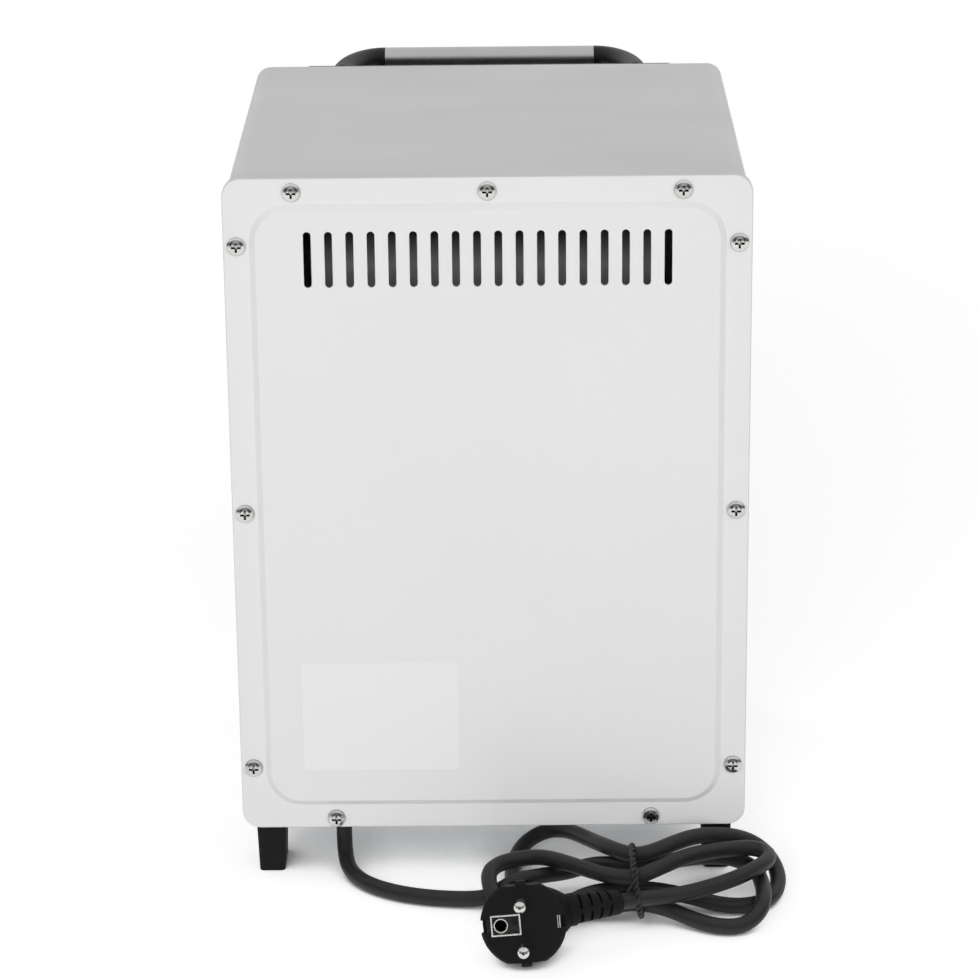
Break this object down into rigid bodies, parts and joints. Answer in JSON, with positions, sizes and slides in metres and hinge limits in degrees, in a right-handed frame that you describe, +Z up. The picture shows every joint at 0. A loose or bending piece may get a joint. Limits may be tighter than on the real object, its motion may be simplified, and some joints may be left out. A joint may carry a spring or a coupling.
{
  "type": "infrared sterilizer",
  "caption": "Upright infrared tool sterilizer with a drop-down glass door, bar handle, control knobs, a vented rear panel and a tied mains cord.",
  "frame": {"origin": "centre of the object's box on the surface that it stands on, the cord left out", "axes": "+Z up, -Y towards the user, where the door and knobs face, +X to the right as seen from the front"},
  "size_m": [0.239, 0.3848, 0.3197],
  "materials": {
    "case_paint": "satin white baked enamel",
    "zinc_sheet": "zinc-coated sheet",
    "stainless": "brushed stainless steel",
    "screw_nickel": "bright nickel plate",
    "foot_black": "moulded black rubber",
    "ceramic_wool": "soft white wool",
    "seal_silicone": "matt silicone",
    "quartz": "milky quartz",
    "coil_wire": "oxidised resistance wire",
    "ceramic": "glazed white ceramic",
    "rack_chrome": "bright chrome wire",
    "hinge_steel": "plain steel",
    "catch_plastic": "matt black nylon",
    "switch_plastic": "cream moulding",
    "capillary_copper": "drawn copper",
    "lamp_green": "clear green",
    "lamp_red": "clear red",
    "terminal_nylon": "white nylon",
    "cord_black": "matt black sheath",
    "gland_black": "matt black nylon",
    "plug_black": "moulded black PVC",
    "pin_nickel": "bright nickel plate",
    "door_black": "black moulding",
    "door_glass": "dark tempered glass",
    "handle_chrome": "bright chrome tube",
    "handle_black": "black moulding",
    "knob_black": "black moulding",
    "shaft_alloy": "turned alloy"
  },
  "bodies": {
    "cabinet": {"outer_wrap": "case_paint", "rear_panel": "case_paint", "front_panel": "case_paint", "bottom_plate": "zinc_sheet", "chamber_liner": "stainless", "instrument_tray": "stainless", "rear_screws": "screw_nickel", "foot_screws": "screw_nickel", "hinge_screws": "screw_nickel", "control_nuts": "screw_nickel", "foot_front_left": "foot_black", "foot_front_right": "foot_black", "foot_rear_left": "foot_black", "foot_rear_right": "foot_black", "insulation_blanket": "ceramic_wool", "door_seal": "seal_silicone", "heater_tube_upper_front": "quartz", "heater_tube_upper_rear": "quartz", "heater_tube_lower_front": "quartz", "heater_tube_lower_rear": "quartz", "heater_coils": "coil_wire", "heater_caps": "ceramic", "wire_rack": "rack_chrome", "hinge_bracket_left": "hinge_steel", "hinge_bracket_right": "hinge_steel", "magnet_catch": "catch_plastic", "thermostat_body": "switch_plastic", "timer_body": "switch_plastic", "thermostat_probe": "capillary_copper", "power_lamp": "lamp_green", "heating_lamp": "lamp_red", "terminal_block": "terminal_nylon", "inner_cord": "cord_black", "power_cord_lead": "cord_black", "power_cord_hank": "cord_black", "power_cord_tail": "cord_black", "cord_gland": "gland_black", "cord_tie": "gland_black", "plug_body": "plug_black", "plug_relief": "plug_black", "plug_pins": "pin_nickel", "plug_earth_contacts": "pin_nickel"},
    "door": {"door_frame": "door_black", "door_glass": "door_glass", "door_inner_frame": "stainless", "strike_plate": "hinge_steel", "hinge_pin_left": "hinge_steel", "hinge_pin_right": "hinge_steel", "handle_bar": "handle_chrome", "handle_end_left": "handle_black", "handle_end_right": "handle_black", "handle_screws": "screw_nickel"},
    "temperature_control": {"temperature_knob": "knob_black", "temperature_shaft": "shaft_alloy"},
    "timer_control": {"timer_knob": "knob_black", "timer_shaft": "shaft_alloy"}
  },
  "joints": [
    {"name": "door_hinge", "type": "hinge", "parent": "cabinet", "child": "door", "pos_m": [0, -0.08745, 0.124], "axis": [1, 0, 0], "range_deg": [0, 90]},
    {"name": "temperature_turn", "type": "hinge", "parent": "cabinet", "child": "temperature_control", "pos_m": [0.052, -0.07745, 0.07], "axis": [0, 1, 0], "range_deg": [0, 300]},
    {"name": "timer_turn", "type": "hinge", "parent": "cabinet", "child": "timer_control", "pos_m": [-0.052, -0.07745, 0.07], "axis": [0, 1, 0], "range_deg": [0, 320]}
  ]
}
